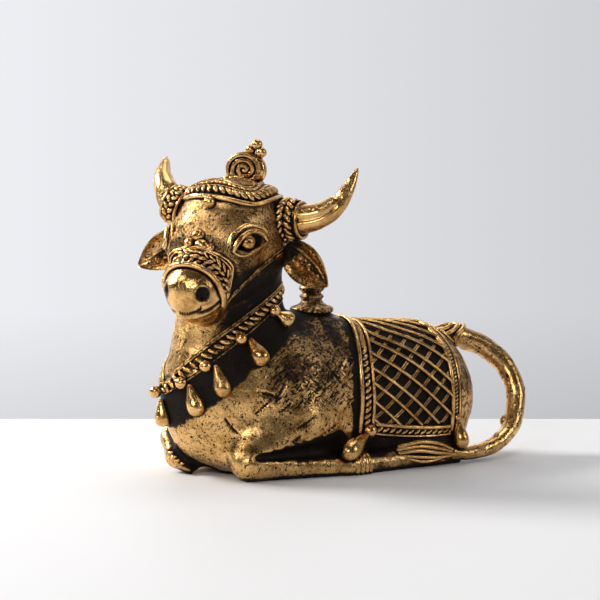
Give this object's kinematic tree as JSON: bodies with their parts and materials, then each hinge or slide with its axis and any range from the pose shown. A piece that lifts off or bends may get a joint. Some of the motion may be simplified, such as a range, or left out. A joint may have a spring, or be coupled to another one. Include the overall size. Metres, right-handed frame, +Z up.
{
  "type": "nandi bull figure",
  "caption": "Cast brass figure of a resting, garlanded bull with its head turned aside, a spiral crown disc, a knob on the hump and a looped tail; rests flat on a shelf.",
  "frame": {"origin": "middle of the figure's bounding box, on the flat underside", "axes": "+X towards the rump and tail (the bull looks along -X), +Y towards the bull's right flank, +Z up"},
  "size_m": [0.1396, 0.0658, 0.11],
  "materials": {
    "brass": "warm polished brass, rubbed bright on the high places, black-brown patina in the recesses and chiselled lines, small pits and scratches"
  },
  "bodies": {
    "root": {"nandi_bull": "brass"}
  },
  "joints": []
}
